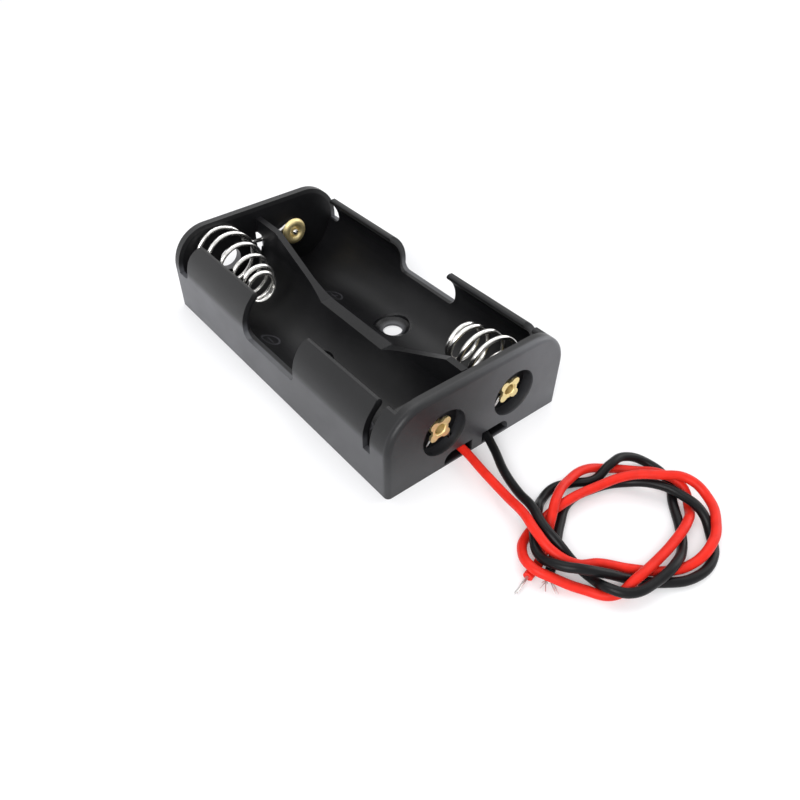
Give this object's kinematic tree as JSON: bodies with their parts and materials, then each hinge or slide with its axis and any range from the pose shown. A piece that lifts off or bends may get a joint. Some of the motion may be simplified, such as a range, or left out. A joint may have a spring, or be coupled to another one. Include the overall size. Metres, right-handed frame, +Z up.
{
  "type": "cylindrical cell holder",
  "caption": "Open-top plastic tray for two cylindrical cells side by side, with coil spring and riveted brass contacts and a red and a black loose lead.",
  "frame": {"origin": "middle of the housing's underside, without the leads", "axes": "+Y along the cells, away from the wall with the leads; +X across the bays, towards the bay with the black lead; +Z up"},
  "size_m": [0.0324, 0.0909, 0.0138],
  "materials": {
    "housing_plastic": "satin black injection moulding",
    "nickel_wire": "bright nickel-plated spring wire",
    "brass": "stamped sheet brass",
    "tinned_strands": "tinned copper strands",
    "red_insulation": "red PVC insulation",
    "black_insulation": "black PVC insulation"
  },
  "bodies": {
    "holder": {"housing": "housing_plastic", "link_eyelet": "brass", "positive_rivet": "brass", "negative_rivet": "brass", "red_conductor": "tinned_strands", "black_conductor": "tinned_strands", "red_lead": "red_insulation", "black_lead": "black_insulation", "red_bare_end": "tinned_strands", "black_bare_end": "tinned_strands"},
    "far_contact": {"far_spring": "nickel_wire"},
    "near_contact": {"near_spring": "nickel_wire"}
  },
  "joints": [
    {"name": "far_spring_travel", "type": "slide", "parent": "holder", "child": "far_contact", "axis": [0, 1, 0], "range_m": [0, 0.011], "stiffness_N_per_m": 800, "deforming": ["far_spring"]},
    {"name": "near_spring_travel", "type": "slide", "parent": "holder", "child": "near_contact", "axis": [0, -1, 0], "range_m": [0, 0.0068], "stiffness_N_per_m": 1200, "deforming": ["near_spring"]}
  ]
}
